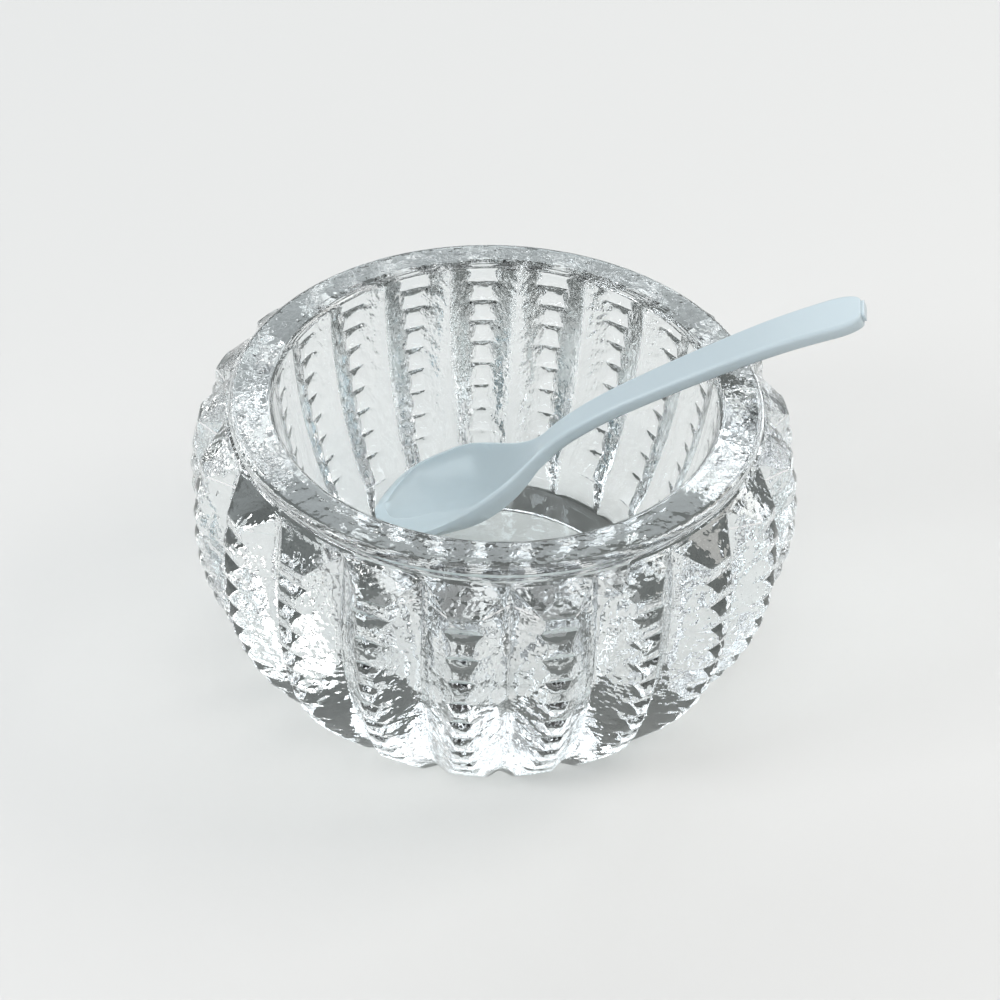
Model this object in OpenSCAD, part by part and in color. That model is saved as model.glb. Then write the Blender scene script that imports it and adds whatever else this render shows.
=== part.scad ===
// Ribbed pressed-glass salt cellar with its loose moulded spoon.
// Origin: centre of the foot, on the surface that it stands on. +Z up, millimetres.
// The spoon lies along +X, its bowl in the cup and its handle over the rim.

/* [Rim] */
// Height from the table to the top of the rim
cellar_h = 29.4; // [28:0.2:31]
// Outer radius of the plain rim
rim_r = 24.5; // [24:0.1:25]
// Width of the flat ring on top, with its rounded edges
rim_w = 4.2; // [3.4:0.1:5]
// Rounding of the rim's two edges
rim_round = 0.7; // [0.4:0.1:0.9]
// Height of the plain band above the ribs' shoulders
rim_band_h = 1.0; // [0.9:0.1:1.3]

/* [Ribs] */
// Number of ribs round the body
rib_count = 21; // [17:1:25]
// Angle of the first crease, from the front
first_crease_angle = 4; // [0:1:17]
// Greatest radius, over the crests of the ribs
belly_r = 28.4; // [27.8:0.1:29]
// Depth of the greatest radius below the rim's top
belly_drop = 10.5; // [9.5:0.5:12]
// Radius of the ribs' curve in side view
belly_curve_r = 25.4; // [24.6:0.2:26.4]
// Depth of a shoulder's tip below the rim's top
tip_drop = 3.4; // [3:0.1:3.8]
// Depth of the creases below the crests, at the belly
crease_depth = 2.8; // [2.4:0.05:3.1]
// Radius of the creases' curve in side view
crease_curve_r = 35.7; // [34.5:0.1:37]
// Angle between the two flanks of a crease
crease_angle = 107; // [101:1:109]

/* [Teeth] */
// Number of notches down each rib
notch_count = 9; // [6:1:9]
// Distance from notch to notch along a rib
notch_pitch = 2.65; // [2.4:0.05:2.7]
// Depth of the notches
notch_depth = 0.6; // [0.4:0.05:0.8]
// Distance along a rib from the belly up to the first notch
first_notch_rise = 5.65; // [5:0.05:6]

/* [Cup] */
// Depth of the cup
cup_depth = 21.4; // [19:0.1:22.5]
// Radius of the cup's wall where it meets the floor's corner
cup_low_r = 15.2; // [14.4:0.2:16]
// Radius of the wall's gentle bulge in side view
cup_wall_curve_r = 60; // [50:5:90]
// Rounding between the wall and the floor
cup_corner_r = 3; // [2:0.2:3.6]

/* [Foot] */
// Width of the ring that the cellar stands on
foot_ring_w = 5; // [3.5:0.5:6]
// Depth of the hollow under the foot
foot_hollow = 0.5; // [0.3:0.1:0.8]

/* [Spoon] */
// Length of the spoon, along its curve
spoon_l = 53; // [50:0.2:54.4]
// Length of the spoon's bowl, to the narrow of the neck
spoon_bowl_l = 19.2; // [18:0.2:20.6]
// Width of the spoon's bowl
spoon_bowl_w = 11.6; // [10:0.2:12]
// Depth of the hollow in the spoon's bowl
spoon_bowl_depth = 3.4; // [2.4:0.1:3.6]
// Width of the neck
spoon_neck_w = 2.8; // [2.4:0.1:3.4]
// Width of the handle near its end
spoon_end_w = 5.0; // [4:0.1:5.4]
// Thickness of the handle
spoon_t = 1.4; // [1:0.1:1.6]
// Thickness of the bowl's wall
spoon_wall = 1.0; // [0.8:0.1:1.2]
// Width of the bevelled lip round the bowl's tip
spoon_lip_w = 1.6; // [0.8:0.1:2]
// Height of that bevel
spoon_lip_h = 0.5; // [0.3:0.1:0.6]
// Length of the small nib that moulding leaves on the handle's end
spoon_nib_l = 0.5; // [0.3:0.1:1]
// Width of the nib
spoon_nib_w = 2.4; // [1:0.1:2.6]
// Thickness of the nib
spoon_nib_t = 0.8; // [0.5:0.1:1]
// Place of the spoon's tip: distance from the middle of the cup to the left
spoon_tip_x = 11.6; // [10.5:0.1:12]
// Place of the spoon's tip: distance from the middle of the cup to the back
spoon_tip_y = 6.8; // [5:0.1:7]
// Angle at which the handle swings to the front
spoon_swing = 4; // [0:0.5:6]
// Gap under the spoon where it rests
spoon_gap = 0.15; // [0.1:0.05:0.4]

/* [Hidden] */
$fn = 96;

// How far every cut runs past what it cuts
overrun = 0.4;

// Body, in section: radius and height
cup_r = rim_r - rim_w;
belly_z = cellar_h - belly_drop;
belly_centre_r = belly_r - belly_curve_r;
root_curve_r = belly_curve_r - notch_depth;
neck_z = cellar_h - rim_band_h;
tip_z = cellar_h - tip_drop;
tip_r = belly_centre_r + sqrt(pow(belly_curve_r, 2) - pow(tip_z - belly_z, 2));
foot_r = belly_centre_r + sqrt(pow(root_curve_r, 2) - pow(belly_z, 2));
floor_z = cellar_h - cup_depth;

// A tooth is the round bead between two notches
tooth_r = (pow(notch_pitch / 2, 2) + pow(notch_depth, 2)) / (2 * notch_depth);
notch_step_angle = notch_pitch / belly_curve_r * 180 / PI;
first_tooth_angle = (first_notch_rise + notch_pitch / 2) / belly_curve_r * 180 / PI;
// Below the teeth a rib lies a little behind their crests
plain_drop = notch_depth * 0.15;

// The creases' curve is a little above the belly, so that they run out at the foot
crease_lift = 1.6;
crease_centre_z = belly_z + crease_lift;
crease_centre_r = belly_r - crease_depth - crease_curve_r;
crease_reach = crease_depth * 2;
crease_half_w = crease_reach * tan(crease_angle / 2);
crease_top_angle = asin((neck_z - crease_centre_z) / crease_curve_r);
crease_low_angle = asin((crease_centre_z + crease_reach) / crease_curve_r);

// Centre of the arc, of radius bend, that bulges outwards between two points of a section
function arc_centre(low, high, bend) =
    let (mid = (low + high) / 2, chord = high - low, half = norm(chord) / 2)
    mid + [-chord[1], chord[0]] / norm(chord) * sqrt(bend * bend - half * half);

cup_low = [cup_low_r, floor_z + cup_corner_r];
cup_high = [cup_r, cellar_h - rim_round];
cup_centre = arc_centre(cup_low, cup_high, cup_wall_curve_r);
cup_steps = 8;

// Spoon, in side view: how much steeper it runs than its tip, in degrees, at shares of its length
spoon_turn_shares = [[0, 0], [0.115, 0], [0.2, -2], [0.25, 1], [0.335, 19], [0.375, 22],
    [0.43, 14], [0.54, 6], [0.8, 2], [0.88, -2], [1, -6.5]];
spoon_line_steps = 100;
spoon_step = spoon_l / spoon_line_steps;
spoon_wide_s = spoon_bowl_l * 0.38;
spoon_hollow_s = spoon_bowl_l * 0.45;
spoon_lip_s = spoon_bowl_l * 0.5;
spoon_tip_inset = spoon_bowl_l * 0.03;
spoon_wall_edge = spoon_wall * 0.6;
spoon_handle_edge = spoon_t * 0.7;
spoon_edge_round = spoon_t * 0.2;
spoon_end_round = spoon_end_w * 0.6;
spoon_end_share = 0.3;
spoon_blunt_share = 2.3;
spoon_taper_share = 0.8;
spoon_hollow_share = 0.7;
spoon_lip_share = 0.4;

function spoon_turn(s) = lookup(s / spoon_l, spoon_turn_shares);

// Half of the spoon's width at the distance s from its tip
function spoon_bowl_half(s) =
    spoon_bowl_w / 2 * sqrt(1 - pow(1 - s / spoon_wide_s, spoon_blunt_share));
function spoon_taper_half(s) =
    let (run = (s - spoon_wide_s) / (spoon_bowl_l - spoon_wide_s))
    (spoon_neck_w + (spoon_bowl_w - spoon_neck_w) * pow((1 + cos(180 * run)) / 2, spoon_taper_share)) / 2;
function spoon_handle_half(s) =
    let (run = (s - spoon_bowl_l) / (spoon_l - spoon_bowl_l),
        past = max(0, s - spoon_l + spoon_end_round) / spoon_end_round)
    (spoon_neck_w + (spoon_end_w - spoon_neck_w) * run) / 2
        * (spoon_end_share + (1 - spoon_end_share) * sqrt(max(0, 1 - pow(past, 2))));
function spoon_half(s) =
    s < spoon_wide_s ? spoon_bowl_half(s) : s < spoon_bowl_l ? spoon_taper_half(s) : spoon_handle_half(s);

// How much of the section at s belongs to the bowl, from 1 to 0
function bowl_share(s) = max(0, min(1, (spoon_bowl_l - s) / (spoon_bowl_l - spoon_wide_s)));

// Depths below the inner edge of the lip: of the hollow, the outer edge, its lower edge and the underside
function spoon_hollow(s) =
    let (run = (s - spoon_hollow_s) / (spoon_hollow_s - spoon_tip_inset))
    spoon_bowl_depth * pow(max(0, 1 - pow(run, 2)), spoon_hollow_share);
function lip_share(s) = max(0, min(1, (spoon_lip_s - s) / spoon_wide_s));
function spoon_lip_drop(s) = max(spoon_edge_round, spoon_lip_h * lip_share(s));
function spoon_lip_width(s) =
    max(spoon_edge_round, min(spoon_lip_w * lip_share(s), spoon_half(s) * spoon_lip_share));
function spoon_edge(s) =
    let (share = bowl_share(s))
    (spoon_lip_drop(s) + spoon_wall_edge) * share + spoon_handle_edge * (1 - share);
function spoon_under(s) =
    let (share = bowl_share(s))
    max(spoon_hollow(s) + spoon_wall, (spoon_lip_h + spoon_wall) * share + spoon_t * (1 - share));

// The side view's line, as [distance, height] from the tip, and the same line along the underside
function spoon_line(tilt) = [for (i = 0, at = [0, 0]; i <= spoon_line_steps;
    at = at + spoon_step * [cos(tilt + spoon_turn((i + 0.5) * spoon_step)),
        sin(tilt + spoon_turn((i + 0.5) * spoon_step))], i = i + 1) at];
function spoon_low_line(tilt) =
    let (line = spoon_line(tilt))
    [for (i = [0 : len(line) - 1]) let (s = i * spoon_step, a = tilt + spoon_turn(s))
        line[i] + spoon_under(s) * [sin(a), -cos(a)]];
bowl_stations = floor(spoon_bowl_l / spoon_step);
function bowl_low(low) = min([for (i = [0 : bowl_stations]) low[i][1]]);

// The handle bears where its far edge first passes over the flat of the ring
spoon_dir = [cos(spoon_swing), -sin(spoon_swing)];
spoon_side = [sin(spoon_swing), cos(spoon_swing)];
spoon_bear_half = spoon_half((spoon_bowl_l + spoon_l) / 2);
spoon_bear_from = [-spoon_tip_x, spoon_tip_y] + spoon_bear_half * spoon_side;
spoon_bear_r = cup_r + rim_round;
spoon_bear_run = sqrt(pow(spoon_bear_from * spoon_dir, 2) - spoon_bear_from * spoon_bear_from
    + pow(spoon_bear_r, 2)) - spoon_bear_from * spoon_dir;

// The tip's slope at which the bowl bears on the floor and the handle on the ring at once
function bear_error(tilt) =
    let (low = spoon_low_line(tilt), handle = [for (i = [bowl_stations : len(low) - 1]) low[i]])
    lookup(spoon_bear_run, handle) - bowl_low(low) - cup_depth;
function bear_tilt(low, high, left) =
    let (middle = (low + high) / 2)
    left == 0 ? middle :
    bear_error(middle) > 0 ? bear_tilt(low, middle, left - 1) : bear_tilt(middle, high, left - 1);
spoon_tilt = bear_tilt(5, 50, 20);
spoon_tip_z = floor_z + spoon_gap - bowl_low(spoon_low_line(spoon_tilt));
spoon_run_at = [for (i = [0 : len(spoon_line(spoon_tilt)) - 1]) [i * spoon_step, spoon_line(spoon_tilt)[i][0]]];
spoon_rise_at = [for (i = [0 : len(spoon_line(spoon_tilt)) - 1]) [i * spoon_step, spoon_line(spoon_tilt)[i][1]]];

// A point of the section at s, given as [to the back, up] from the spoon's line
function spoon_place(s, point) =
    let (a = spoon_tilt + spoon_turn(s), plan = [-spoon_tip_x, spoon_tip_y]
        + (lookup(s, spoon_run_at) - point[1] * sin(a)) * spoon_dir + point[0] * spoon_side)
    [plan[0], plan[1], spoon_tip_z + lookup(s, spoon_rise_at) + point[1] * cos(a)];

// Sections along the spoon, closer where its outline is round
spoon_tip_steps = 8;
spoon_steps = 26;
spoon_end_steps = 4;
spoon_first_share = 0.4;
spoon_stations = concat(
    [for (i = [spoon_first_share, each [1 : spoon_tip_steps]])
        spoon_wide_s * (1 - cos(90 * i / spoon_tip_steps))],
    [for (i = [1 : spoon_steps])
        spoon_wide_s + (spoon_l - spoon_end_round - spoon_wide_s) * i / spoon_steps],
    [for (i = [1 : spoon_end_steps]) spoon_l - spoon_end_round * (1 - sin(90 * i / spoon_end_steps))]);

// One section: the top from the front edge to the back, then the underside from the back to the front
spoon_top_shares = [-1, -0.66, -0.33, 0, 0.33, 0.66, 1];
spoon_under_shares = [0.85, 0.5, 0, -0.5, -0.85];
function spoon_section(s) =
    let (half = spoon_half(s), inner = half - spoon_lip_width(s), drop = spoon_lip_drop(s),
        edge = spoon_edge(s), depth = spoon_under(s) - edge, share = bowl_share(s))
    concat([[-half, -drop]],
        [for (k = spoon_top_shares) [k * inner, -spoon_hollow(s) * (1 - k * k)]],
        [[half, -drop], [half, -edge]],
        [for (k = spoon_under_shares) [k * half, -edge - depth * (1 - share * k * k)]],
        [[-half, -edge]]);
spoon_points = [for (s = spoon_stations, point = spoon_section(s)) spoon_place(s, point)];
spoon_sides = len(spoon_section(spoon_l));
spoon_last = len(spoon_points) - spoon_sides;
spoon_faces = concat(
    [for (i = [1 : spoon_sides - 2]) [0, i + 1, i]],
    [for (first = [0 : spoon_sides : spoon_last - 1], i = [0 : spoon_sides - 1], half = [0, 1])
        let (a = first + i, b = first + (i + 1) % spoon_sides)
        half == 0 ? [a, b, b + spoon_sides] : [a, b + spoon_sides, a + spoon_sides]],
    [for (i = [1 : spoon_sides - 2]) [spoon_last, spoon_last + i, spoon_last + i + 1]]);

module under_shoulder() {
    polygon([[0, 0], [belly_r + overrun, 0], [belly_r + overrun, tip_z - (belly_r + overrun - tip_r)],
        [tip_r, tip_z], [rim_r, neck_z], [0, neck_z]]);
}

module toothed_section() {
    intersection() {
        under_shoulder();
        union() {
            translate([belly_centre_r, belly_z]) circle(r = root_curve_r);
            for (i = [0 : notch_count])
                translate([belly_centre_r, belly_z])
                    rotate(first_tooth_angle - i * notch_step_angle)
                        translate([belly_curve_r - tooth_r, 0]) circle(r = tooth_r);
            // below the last notch the rib runs plain to the foot
            intersection() {
                translate([belly_centre_r, belly_z]) circle(r = belly_curve_r - plain_drop);
                translate([belly_centre_r, belly_z])
                    rotate(first_tooth_angle - notch_count * notch_step_angle)
                        translate([0, -belly_r]) square(belly_r);
            }
        }
    }
}

module rim_section() {
    translate([0, belly_z]) square([rim_r, cellar_h - rim_round - belly_z]);
    translate([0, belly_z]) square([rim_r - rim_round, cellar_h - belly_z]);
    translate([rim_r - rim_round, cellar_h - rim_round]) circle(r = rim_round);
}

module cup_section() {
    turn_low = atan2(cup_low[1] - cup_centre[1], cup_low[0] - cup_centre[0]);
    turn_high = atan2(cup_high[1] - cup_centre[1], cup_high[0] - cup_centre[0]);
    wall = [for (i = [0 : cup_steps]) let (a = turn_low + (turn_high - turn_low) * i / cup_steps)
        cup_centre + cup_wall_curve_r * [cos(a), sin(a)]];
    difference() {
        union() {
            polygon(concat([[0, floor_z + cup_corner_r]], wall,
                [[cup_r, cellar_h + overrun], [0, cellar_h + overrun]]));
            translate([0, floor_z]) square([cup_low_r - cup_corner_r, cup_corner_r + overrun]);
            translate([cup_low_r - cup_corner_r, floor_z + cup_corner_r]) circle(r = cup_corner_r);
            translate([cup_r - overrun, cellar_h - rim_round])
                square([overrun + rim_round, rim_round + overrun]);
        }
        translate([cup_r + rim_round, cellar_h - rim_round]) circle(r = rim_round);
    }
}

module crease_cutter() {
    translate([crease_centre_r, 0, crease_centre_z])
        rotate([90, crease_low_angle, 0])
            rotate_extrude(angle = crease_low_angle + crease_top_angle)
                polygon([[crease_curve_r, 0], [crease_curve_r + crease_reach, crease_half_w],
                    [crease_curve_r + crease_reach, -crease_half_w]]);
}

module glass_cellar() {
    color([0.86, 0.92, 0.93])
        difference() {
            union() {
                difference() {
                    rotate_extrude() intersection() {
                        toothed_section();
                        square([belly_r + overrun, cellar_h]);
                    }
                    for (i = [0 : rib_count - 1])
                        rotate(first_crease_angle - 90 + i * 360 / rib_count) crease_cutter();
                }
                rotate_extrude() intersection() {
                    rim_section();
                    square([rim_r, cellar_h]);
                }
            }
            rotate_extrude() cup_section();
            translate([0, 0, -overrun])
                cylinder(r = foot_r - foot_ring_w, h = foot_hollow + overrun);
        }
}

module salt_spoon() {
    color([0.72, 0.77, 0.79]) {
        polyhedron(points = spoon_points, faces = spoon_faces, convexity = 6);
        translate(spoon_place(spoon_l, [0, -spoon_edge_round - spoon_nib_t / 2]))
            rotate([0, -spoon_tilt - spoon_turn(spoon_l), -spoon_swing])
                translate([-overrun, -spoon_nib_w / 2, -spoon_nib_t / 2])
                    cube([overrun + spoon_nib_l, spoon_nib_w, spoon_nib_t]);
    }
}

glass_cellar();
salt_spoon();
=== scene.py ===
import math

import bmesh
import bpy
from mathutils import Matrix, Quaternion, Vector


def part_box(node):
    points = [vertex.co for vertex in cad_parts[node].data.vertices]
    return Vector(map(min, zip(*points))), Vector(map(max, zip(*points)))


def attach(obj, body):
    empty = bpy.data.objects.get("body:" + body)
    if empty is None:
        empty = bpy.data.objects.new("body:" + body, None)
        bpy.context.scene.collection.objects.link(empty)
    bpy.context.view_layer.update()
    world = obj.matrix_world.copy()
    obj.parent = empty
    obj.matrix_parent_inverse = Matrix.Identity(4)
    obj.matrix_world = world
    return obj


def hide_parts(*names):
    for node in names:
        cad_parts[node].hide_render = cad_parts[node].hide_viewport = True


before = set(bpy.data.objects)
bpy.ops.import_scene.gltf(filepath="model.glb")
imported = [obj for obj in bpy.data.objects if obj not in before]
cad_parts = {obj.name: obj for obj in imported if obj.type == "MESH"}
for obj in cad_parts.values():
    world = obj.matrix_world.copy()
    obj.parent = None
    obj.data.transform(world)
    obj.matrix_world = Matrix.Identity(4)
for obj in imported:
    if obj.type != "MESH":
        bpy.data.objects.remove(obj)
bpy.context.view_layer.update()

# The cellar: one heavy piece of clear soda glass, pressed in a mould and fire-polished.
# Its ribs stand between V creases, and a row of small rounded teeth runs down each crest.
# It stands on a flat ring round a shallow hollow, and nothing is fixed to it.
mm = 0.001
cellar_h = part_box("glass_cellar")[1].z
rim_r = 24.5 * mm
rim_w = 4.2 * mm
rim_round = 0.7 * mm
neck_drop = 1.05 * mm
neck_cut = 0.3 * mm
rib_count = 21
first_crease = math.radians(4 - 90)
belly_r = 28.4 * mm
belly_drop = 10.5 * mm
belly_curve_r = 25.4 * mm
shoulder_top_drop = 1.3 * mm
shoulder_tip_drop = 3.4 * mm
shoulder_tip_r = 27.35 * mm
crease_depth = 2.8 * mm
crease_drop = 8.9 * mm
crease_curve_r = 35.7 * mm
crease_half_angle = math.radians(53.5)
notch_count = 9
notch_pitch = 2.65 * mm
notch_depth = 0.6 * mm
first_notch_rise = 5.65 * mm
plain_drop = 0.09 * mm
cup_depth = 21.4 * mm
cup_low_r = 15.2 * mm
cup_wall_curve_r = 60 * mm
cup_corner_r = 3 * mm
foot_ring_r = 14 * mm
foot_hollow = 0.5 * mm
foot_round = 0.45 * mm
edge_w = 0.11 * mm
shoulder_out = 0.12 * mm
neck_out = 0.02 * mm
tooth_share = 0.97
lowest_tooth_start = 0.25
top_tooth_end = 0.28
foot_gap = 0.02
tooth_gap = 0.01
skin_on_ribs = 1
skin_on_rim_top = 0.9
skin_elsewhere = 0.12


def arc(centre, radius, start, end, steps):
    """Points [radius, height] along a round stretch of an outline, both ends included."""
    turns = [start + (end - start) * i / steps for i in range(steps + 1)]
    return [(centre[0] + radius * math.cos(t), centre[1] + radius * math.sin(t)) for t in turns]


belly_z = cellar_h - belly_drop
belly_centre = (belly_r - belly_curve_r, belly_z)
tooth_r = ((notch_pitch / 2) ** 2 + notch_depth ** 2) / (2 * notch_depth)
tooth_half = math.asin(notch_pitch / 2 / tooth_r)
notch_turn = notch_pitch / belly_curve_r


def tooth(index, low_part, high_part, steps):
    """One rounded tooth of the crest's outline, from low to high."""
    at = (first_notch_rise + notch_pitch / 2) / belly_curve_r - index * notch_turn
    reach = belly_curve_r - tooth_r
    centre = (belly_centre[0] + reach * math.cos(at), belly_centre[1] + reach * math.sin(at))
    return arc(centre, tooth_r, at + low_part * tooth_half, at + high_part * tooth_half, steps)


# the outline runs from the foot's middle, out and up over the crest of a rib, and down into the cup
last_tooth = (first_notch_rise + notch_pitch / 2) / belly_curve_r - notch_count * notch_turn
plain_r = belly_curve_r - plain_drop
foot_turn = -math.asin((belly_z - foot_round) / plain_r)
foot_edge = belly_centre[0] + plain_r * math.cos(foot_turn)
outline = [(foot_ring_r * i / 8, foot_hollow) for i in range(8)]
outline += arc((foot_ring_r - foot_hollow, 0), foot_hollow, math.pi / 2, 0, 4)
outline += [(foot_ring_r + (foot_edge - foot_round - foot_ring_r) * i / 6, 0) for i in range(1, 6)]
outline += arc((foot_edge - foot_round, foot_round), foot_round, -math.pi / 2, math.radians(-30), 4)
outline += arc(belly_centre, plain_r, foot_turn + foot_gap, last_tooth - tooth_gap, 12)
outline += tooth(notch_count, lowest_tooth_start, tooth_share, 4)
for index in range(notch_count - 1, 0, -1):
    outline += tooth(index, -tooth_share, tooth_share, 9)
outline += tooth(0, -tooth_share, top_tooth_end, 6)
shoulder_top_r = rim_r + shoulder_out
tip = (shoulder_tip_r, cellar_h - shoulder_tip_drop)
top = (shoulder_top_r, cellar_h - shoulder_top_drop)
outline += [(tip[0] + (top[0] - tip[0]) * i / 8, tip[1] + (top[1] - tip[1]) * i / 8) for i in range(9)]
neck_centre = (rim_r + neck_out, cellar_h - neck_drop)
outline += arc(neck_centre, neck_cut, math.radians(-125), math.radians(-235), 4)
outline += arc((rim_r - rim_round, cellar_h - rim_round), rim_round, 0, math.pi / 2, 8)
cup_r = rim_r - rim_w
ring_in = cup_r + rim_round
outline += [(rim_r - rim_round + (ring_in - rim_r + rim_round) * i / 5, cellar_h) for i in range(1, 5)]
outline += arc((ring_in, cellar_h - rim_round), rim_round, math.pi / 2, math.pi, 8)
floor_z = cellar_h - cup_depth
wall_low = Vector((cup_low_r, floor_z + cup_corner_r))
wall_high = Vector((cup_r, cellar_h - rim_round))
chord = wall_high - wall_low
wall_out = Vector((-chord.y, chord.x)).normalized()
centre_reach = math.sqrt(cup_wall_curve_r ** 2 - chord.length_squared / 4)
wall_centre = (wall_low + wall_high) / 2 + wall_out * centre_reach
wall_turns = [math.atan2(p.y - wall_centre.y, p.x - wall_centre.x) for p in (wall_high, wall_low)]
outline += arc(wall_centre, cup_wall_curve_r, wall_turns[0], wall_turns[1], 16)[1:]
corner = (cup_low_r - cup_corner_r, floor_z + cup_corner_r)
outline += arc(corner, cup_corner_r, 0, -math.pi / 2, 10)[1:]
outline += [(corner[0] * (1 - i / 6), floor_z) for i in range(1, 7)]

# spun once round, with a fixed number of columns to a rib
columns = 12
glass = bmesh.new()
path = [glass.verts.new((r, 0, z)) for r, z in outline]
edges = [glass.edges.new(pair) for pair in zip(path, path[1:])]
bmesh.ops.spin(glass, geom=path + edges, cent=(0, 0, 0), axis=(0, 0, 1), angle=2 * math.pi,
               steps=rib_count * columns, use_merge=True, use_duplicate=False)
bmesh.ops.remove_doubles(glass, verts=glass.verts, dist=0.00001)

# each ring of columns is drawn in to the flanks of the V creases, which meet the crest in a narrow edge
crease_z = cellar_h - crease_drop
crease_centre_r = belly_r - crease_depth - crease_curve_r
half_rib = math.pi / rib_count
flank = 1 / math.tan(crease_half_angle)


def flank_r(crease_r, turn):
    """Radius of a crease's flank at an angle from the crease."""
    return crease_r / (math.cos(turn) - flank * math.sin(turn))


skin = glass.verts.layers.float.new("mould_skin")
for v in glass.verts:
    r = math.hypot(v.co.x, v.co.y)
    v[skin] = skin_on_rim_top if r > ring_in and v.co.z > cellar_h - rim_round else skin_elsewhere
    crease_r = crease_centre_r + math.sqrt(crease_curve_r ** 2 - (v.co.z - crease_z) ** 2)
    if r <= crease_r or v.co.z > cellar_h - neck_drop:
        continue
    v[skin] = skin_on_ribs
    column = round(math.atan2(v.co.y, v.co.x) / math.pi * rib_count * columns / 2) % (rib_count * columns)
    place = column % columns
    rib_start = (column - place) / columns * 2 * half_rib
    full_turn = min(math.acos(crease_r / r / math.hypot(1, flank)) - math.atan(flank), half_rib)
    edge = min(edge_w / r, full_turn * 0.2, (half_rib - full_turn) * 0.5)
    bottom = min(edge_w / r, full_turn * 0.2)
    # from the crease's bottom: its rounding, two columns on the flank, two at the edge, and the crest
    turns = (0, bottom, full_turn * 0.3, full_turn * 0.62, full_turn - edge, full_turn + edge, half_rib)
    turn = turns[min(place, columns - place)]
    new_r = min(r, flank_r(crease_r, max(turn, bottom * 0.6)))
    at = rib_start + (turn if place <= columns / 2 else 2 * half_rib - turn)
    v.co.x = new_r * math.cos(at)
    v.co.y = new_r * math.sin(at)
bmesh.ops.rotate(glass, verts=glass.verts, cent=(0, 0, 0), matrix=Matrix.Rotation(first_crease, 3, "Z"))
bmesh.ops.recalc_face_normals(glass, faces=glass.faces)

cellar_mesh = bpy.data.meshes.new("pressed_cellar")
glass.to_mesh(cellar_mesh)
glass.free()
for face in cellar_mesh.polygons:
    face.use_smooth = True
cellar_mesh.set_sharp_from_angle(angle=math.radians(32))
cellar = bpy.data.objects.new("pressed_cellar", cellar_mesh)
bpy.context.collection.objects.link(cellar)

# clear glass: the mould leaves a fine crinkle on the ribs and the rim's flat top, and the cup is nearly
# smooth; part of the light reaches the floor under it, as through real glass
clear_glass = bpy.data.materials.new("clear_pressed_glass")
clear_glass.use_nodes = True
nodes, links = clear_glass.node_tree.nodes, clear_glass.node_tree.links
shader = nodes["Principled BSDF"]
shader.inputs["Base Color"].default_value = (0.955, 0.982, 0.985, 1)
shader.inputs["Transmission Weight"].default_value = 1
shader.inputs["IOR"].default_value = 1.52
shader.inputs["Roughness"].default_value = 0.0
coordinates = nodes.new("ShaderNodeTexCoord")
waves = nodes.new("ShaderNodeTexNoise")
waves.inputs["Scale"].default_value = 700
waves.inputs["Detail"].default_value = 2
waves.inputs["Roughness"].default_value = 0.5
links.new(coordinates.outputs["Object"], waves.inputs["Vector"])
mould_skin = nodes.new("ShaderNodeAttribute")
mould_skin.attribute_name = "mould_skin"
crinkle = nodes.new("ShaderNodeMath")
crinkle.operation = "MULTIPLY"
links.new(waves.outputs["Fac"], crinkle.inputs[0])
links.new(mould_skin.outputs["Fac"], crinkle.inputs[1])
bump = nodes.new("ShaderNodeBump")
bump.inputs["Strength"].default_value = 0.3
bump.inputs["Distance"].default_value = 0.0006
links.new(crinkle.outputs["Value"], bump.inputs["Height"])
links.new(bump.outputs["Normal"], shader.inputs["Normal"])
light_path = nodes.new("ShaderNodeLightPath")
clear_shadow = nodes.new("ShaderNodeBsdfTransparent")
clear_shadow.inputs["Color"].default_value = (0.55, 0.57, 0.57, 1)
shadow_or_glass = nodes.new("ShaderNodeMixShader")
links.new(light_path.outputs["Is Shadow Ray"], shadow_or_glass.inputs["Fac"])
links.new(shader.outputs["BSDF"], shadow_or_glass.inputs[1])
links.new(clear_shadow.outputs["BSDF"], shadow_or_glass.inputs[2])
links.new(shadow_or_glass.outputs["Shader"], nodes["Material Output"].inputs["Surface"])
cellar_mesh.materials.append(clear_glass)
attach(cellar, "cellar")
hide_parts("glass_cellar")

# The spoon: one small moulding of milky, slightly translucent plastic with a satin skin.
# It lies loose, its bowl on the cup's floor and its handle over the rim.
# A rounded lip runs round the bowl's tip, and the handle's end keeps a nib from the mould.
spoon_l = 53.0 * mm
spoon_bowl_l = 19.2 * mm
spoon_bowl_w = 11.6 * mm
spoon_bowl_depth = 3.4 * mm
spoon_neck_w = 2.8 * mm
spoon_end_w = 5.0 * mm
spoon_t = 1.4 * mm
spoon_wall = 1.0 * mm
spoon_lip_w = 1.6 * mm
front_lip_w = spoon_lip_w * 1.25
back_lip_w = spoon_lip_w * 0.5
lip_fade = 5 * mm
spoon_lip_h = 0.5 * mm
spoon_lip_sink = 0.42 * mm
spoon_lean = 0.35 * mm
spoon_nib_l = 0.3 * mm
spoon_nib_w = 2.4 * mm
spoon_nib_t = 0.95 * mm
spoon_tip = Vector((-11.6, 6.8)) * mm
spoon_swing = math.radians(4)
spoon_slope = 28.38
spoon_turns = [(0, 0), (0.115, 0), (0.2, -2), (0.25, 1), (0.335, 19), (0.375, 22), (0.43, 14), (0.54, 6),
               (0.8, 2), (0.88, -2), (1, -6.5)]
wide_s = spoon_bowl_l * 0.41
hollow_s = spoon_bowl_l * 0.45
hollow_end_s = spoon_bowl_l * 1.04
lip_end_s = spoon_bowl_l * 0.62
end_round = spoon_end_w * 0.6
end_flat = 0.46
edge_round = spoon_t * 0.22
tip_inset = 1.3 * mm
least_inside = 0.15
most_lip = 0.45
side_top = 0.15
bowl_side_t = spoon_wall * 0.6
handle_side_t = spoon_t * 0.72
handle_corner = 0.6
longest_stride = 0.2 * mm


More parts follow.
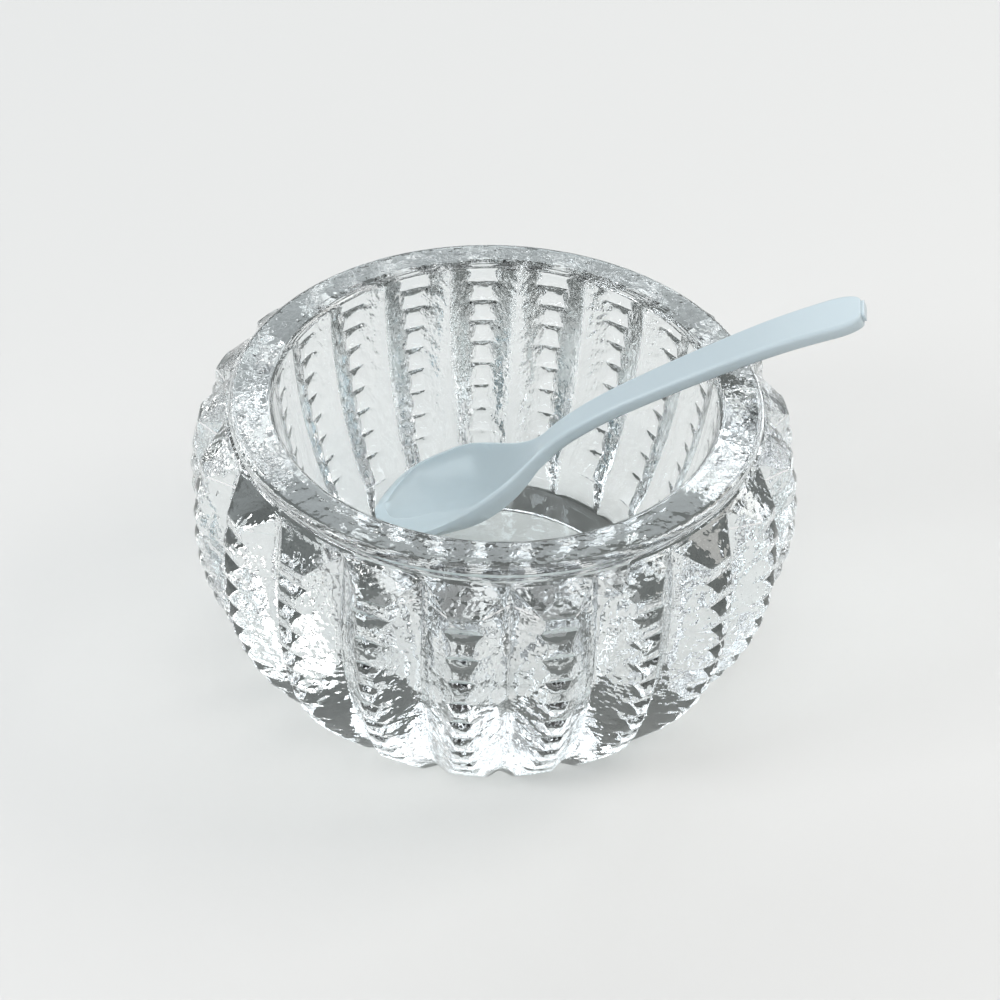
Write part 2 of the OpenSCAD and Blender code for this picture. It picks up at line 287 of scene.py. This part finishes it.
def between(table, x):
    """The value at x of a table of points, with straight lines between them."""
    for (x0, y0), (x1, y1) in zip(table, table[1:]):
        if x <= x1:
            return y0 + (y1 - y0) * (x - x0) / (x1 - x0)
    return table[-1][1]


def spoon_half(s):
    """Half of the spoon's width at the distance s from its tip."""
    if s < wide_s:
        return spoon_bowl_w / 2 * math.sqrt(1 - (1 - s / wide_s) ** 2.5)
    if s < spoon_bowl_l:
        run = (s - wide_s) / (spoon_bowl_l - wide_s)
        return (spoon_neck_w + (spoon_bowl_w - spoon_neck_w) * ((1 + math.cos(math.pi * run)) / 2) ** 0.8) / 2
    run = (s - spoon_bowl_l) / (spoon_l - spoon_bowl_l)
    past = max(0, s - spoon_l + end_round) / end_round
    rounded = math.sqrt(max(0, 1 - past ** 2.2))
    return (spoon_neck_w + (spoon_end_w - spoon_neck_w) * run) / 2 * (end_flat + (1 - end_flat) * rounded)


def hollow_depth(s):
    """How deep the bowl is at s: steep behind its tip, and fading out into the handle."""
    if s < hollow_s:
        run = (s - hollow_s) / (hollow_s - tip_inset)
        return spoon_bowl_depth * max(0, 1 - run ** 2) ** 0.7
    fade = min(1, (s - hollow_s) / (hollow_end_s - hollow_s))
    return spoon_bowl_depth * (1 + math.cos(math.pi * fade)) / 2


def inner_half(s, half, lip_w):
    """How far the top reaches at s on one side, inside the lip and the rounded edge."""
    past_tip = max(0, min(1, (s - tip_inset) / (wide_s - tip_inset)))
    rounded = half * max(least_inside, math.sqrt(1 - (1 - past_tip) ** 2.4))
    return min(rounded, half - max(edge_round, min(lip_w, half * most_lip)))


def edge_points(inner, half, drop):
    """The rounded edge between the top and one side, from the inside out."""
    return [(inner + (half - inner) * math.sin(a), -drop * (1 - math.cos(a))) for a in (0.5, 1.0, 1.57)]


def spoon_section(s):
    """The section at s as (to the back, up) points: over the top from front to back, then under it."""
    half = spoon_half(s)
    bowl = max(0, min(1, (spoon_bowl_l - s) / (spoon_bowl_l - wide_s)))
    lip = max(0, min(1, (lip_end_s - s) / lip_fade))
    hollow = hollow_depth(s)
    inner_front = inner_half(s, half, front_lip_w * lip)
    inner_back = inner_half(s, half, back_lip_w * lip)
    drop = max(edge_round, spoon_lip_h * lip)
    sink = min(spoon_lip_sink, hollow) * lip
    dish = [(k / 8, -sink - (hollow - sink) * (1 - (k / 8) ** 2)) for k in range(-7, 8)]
    dish = [(-1, 0), (-0.985, -sink), *dish, (0.985, -sink), (1, 0)]
    over = [(share * (inner_back if share > 0 else inner_front), y) for share, y in dish]
    front = [(-x, y) for x, y in reversed(edge_points(inner_front, half, drop))]
    back = edge_points(inner_back, half, drop)
    low = (drop + bowl_side_t) * bowl + handle_side_t * (1 - bowl)
    edge_low = drop + (low - drop) * side_top
    under = max(hollow + spoon_wall, (spoon_lip_h + spoon_wall) * bowl + spoon_t * (1 - bowl))
    below = []
    for k in (0.93, 0.8, 0.6, 0.3, 0, -0.3, -0.6, -0.8, -0.93):
        drawn_in = 1 if bowl or abs(k) < 0.9 else handle_corner
        below.append((k * half, -low - (under - low) * (1 - bowl * k * k) * drawn_in))
    points = [(-half, -edge_low), *front, *over, *back, (half, -edge_low)]
    points += [(half, -low), *below, (-half, -low)]
    lean = spoon_lean * bowl * min(1, s / spoon_lip_w) / half
    return [(x * (1 + lean) if x > 0 else x, y) for x, y in points]


def nib_section():
    """The nib's section, with as many points as the spoon's."""
    end = spoon_section(spoon_l)
    wide = max(x for x, y in end)
    deep = -min(y for x, y in end)
    return [(x / wide * spoon_nib_w / 2, y / deep * spoon_nib_t - edge_round * 0.4) for x, y in end]


# the spoon is drawn out section by section, along its curve in side view
tip_steps = [wide_s * (1 - math.cos(math.pi / 2 * i / 24)) for i in (0.5, *range(1, 25))]
mid_steps = [wide_s + (spoon_l - end_round - wide_s) * i / 90 for i in range(1, 91)]
end_steps = [spoon_l - end_round * (1 - math.sin(math.pi / 2 * i / 10)) for i in range(1, 11)]
nib_steps = [spoon_l, spoon_l + spoon_nib_l]
forward = Vector((math.cos(spoon_swing), -math.sin(spoon_swing), 0))
backward = Vector((math.sin(spoon_swing), math.cos(spoon_swing), 0))
spoon = bmesh.new()
ring = [spoon.verts.new((0, 0, 0)) for _ in spoon_section(wide_s)]
loop = [spoon.edges.new(pair) for pair in zip(ring, ring[1:] + ring[:1])]
spoon.faces.new(ring)
line = Vector((spoon_tip.x, spoon_tip.y, 0))
walked = 0
for number, s in enumerate(tip_steps + mid_steps + end_steps + nib_steps):
    while walked < s:
        stride = min(longest_stride, s - walked)
        slope = math.radians(spoon_slope + between(spoon_turns, (walked + stride / 2) / spoon_l))
        line += stride * (forward * math.cos(slope) + Vector((0, 0, math.sin(slope))))
        walked += stride
    slope = math.radians(spoon_slope + between(spoon_turns, s / spoon_l))
    upward = Vector((0, 0, math.cos(slope))) - forward * math.sin(slope)
    if number:
        made = bmesh.ops.extrude_edge_only(spoon, edges=loop)["geom"]
        fresh = {g for g in made if isinstance(g, bmesh.types.BMVert)}
        loop = [g for g in made if isinstance(g, bmesh.types.BMEdge) and len(g.link_faces) == 1]
        ring = [next(e.other_vert(v) for e in v.link_edges if e.other_vert(v) in fresh) for v in ring]
    is_nib = number >= len(tip_steps + mid_steps + end_steps)
    for v, (side, up) in zip(ring, nib_section() if is_nib else spoon_section(s)):
        v.co = line + backward * side + upward * up
spoon.faces.new(ring)
bmesh.ops.recalc_face_normals(spoon, faces=spoon.faces)
cad_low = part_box("salt_spoon")[0]
lowest = min(v.co.z for v in spoon.verts)
bmesh.ops.translate(spoon, verts=spoon.verts, vec=(0, 0, cad_low.z - lowest))

spoon_mesh = bpy.data.meshes.new("salt_spoon_moulding")
spoon.to_mesh(spoon_mesh)
spoon.free()
for face in spoon_mesh.polygons:
    face.use_smooth = True
spoon_mesh.set_sharp_from_angle(angle=math.radians(40))
spoon_piece = bpy.data.objects.new("salt_spoon_moulding", spoon_mesh)
bpy.context.collection.objects.link(spoon_piece)

# milky plastic: light goes a little way in, and the skin is satin
milky = bpy.data.materials.new("milky_plastic")
milky.use_nodes = True
nodes, links = milky.node_tree.nodes, milky.node_tree.links
shader = nodes["Principled BSDF"]
shader.inputs["Base Color"].default_value = (0.405, 0.463, 0.486, 1)
shader.inputs["Roughness"].default_value = 0.3
shader.inputs["IOR"].default_value = 1.5
shader.inputs["Subsurface Weight"].default_value = 0.35
shader.inputs["Subsurface Radius"].default_value = (1.0, 1.1, 1.2)
shader.inputs["Subsurface Scale"].default_value = 0.0012
coordinates = nodes.new("ShaderNodeTexCoord")
satin = nodes.new("ShaderNodeTexNoise")
satin.inputs["Scale"].default_value = 2600
satin.inputs["Detail"].default_value = 3
links.new(coordinates.outputs["Object"], satin.inputs["Vector"])
bump = nodes.new("ShaderNodeBump")
bump.inputs["Strength"].default_value = 0.1
bump.inputs["Distance"].default_value = 0.0001
links.new(satin.outputs["Fac"], bump.inputs["Height"])
links.new(bump.outputs["Normal"], shader.inputs["Normal"])
spoon_mesh.materials.append(milky)
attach(spoon_piece, "spoon")
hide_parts("salt_spoon")

# The floor: a plain pale sheet of matt card that the cellar stands on.
# It isn't part of the object, and it catches the object's shadow.
floor_half = 1.5
floor = bmesh.new()
bmesh.ops.create_grid(floor, x_segments=1, y_segments=1, size=floor_half)
floor_mesh = bpy.data.meshes.new("floor")
floor.to_mesh(floor_mesh)
floor.free()
floor_piece = bpy.data.objects.new("floor", floor_mesh)
bpy.context.collection.objects.link(floor_piece)
pale = bpy.data.materials.new("pale_floor")
pale.use_nodes = True
pale.node_tree.nodes["Principled BSDF"].inputs["Base Color"].default_value = (0.56, 0.545, 0.53, 1)
pale.node_tree.nodes["Principled BSDF"].inputs["Roughness"].default_value = 0.7
floor_mesh.materials.append(pale)

# The light: a grey room with soft windows behind, above, at both sides and in front.
# The wide one at the back gives the rim its sheen, and the small one at the front left brightens
# the spoon's near edge.
world = bpy.data.worlds.new("room")
world.use_nodes = True
world.node_tree.nodes["Background"].inputs["Color"].default_value = (0.55, 0.57, 0.6, 1)
world.node_tree.nodes["Background"].inputs["Strength"].default_value = 0.44
bpy.context.scene.world = world


def window(name, place, size, colour, power):
    """A soft rectangular light that looks at the cellar."""
    data = bpy.data.lights.new(name, "AREA")
    data.shape = "RECTANGLE"
    data.size, data.size_y = size
    data.energy = power
    data.color = colour
    lamp = bpy.data.objects.new(name, data)
    lamp.location = place
    lamp.rotation_euler = (Vector((0, 0, cellar_h / 2)) - Vector(place)).to_track_quat("-Z", "Y").to_euler()
    bpy.context.collection.objects.link(lamp)


window("window_back", (-0.1, 0.72, 0.55), (1.2, 0.34), (0.88, 0.96, 1), 4.2)
window("window_top", (0.12, 0.1, 0.75), (0.6, 0.6), (0.95, 0.98, 1), 1.2)
window("window_left", (-0.75, 0.4, 0.45), (0.5, 0.5), (0.88, 0.96, 1), 1.0)
window("window_right", (0.45, 0.12, 0.4), (0.3, 0.3), (1, 0.98, 0.94), 1.6)
window("window_edge", (-0.62, -0.3, 0.4), (0.22, 0.22), (0.92, 0.97, 1), 2.6)
window("window_front", (0, -0.38, 0.62), (1.1, 0.22), (0.95, 0.98, 1), 2.7)
window("window_low", (0.1, -0.75, 0.2), (1.4, 0.35), (1, 0.99, 0.97), 2.0)

# The camera: where the photograph was taken from, about 24 cm away and looking down.
# Its place and turn were worked out from the rim, the ribs and the foot.
camera_place = (0, -0.19196, 0.17627)
camera_data = bpy.data.cameras.new("camera")
camera_data.lens = 95.2
camera_data.sensor_width = 36
camera_data.clip_start = 0.01
camera = bpy.data.objects.new("camera", camera_data)
camera_below = math.radians(39.723)
camera_aside = math.radians(0.1915)
camera_roll = math.radians(1.897)
camera.location = camera_place
look = Vector((math.sin(camera_aside) * math.cos(camera_below),
               math.cos(camera_aside) * math.cos(camera_below), -math.sin(camera_below)))
camera.rotation_euler = (look.to_track_quat("-Z", "Y") @ Quaternion((0, 0, 1), camera_roll)).to_euler()
bpy.context.collection.objects.link(camera)
bpy.context.scene.camera = camera
bpy.context.scene.view_settings.view_transform = "Standard"
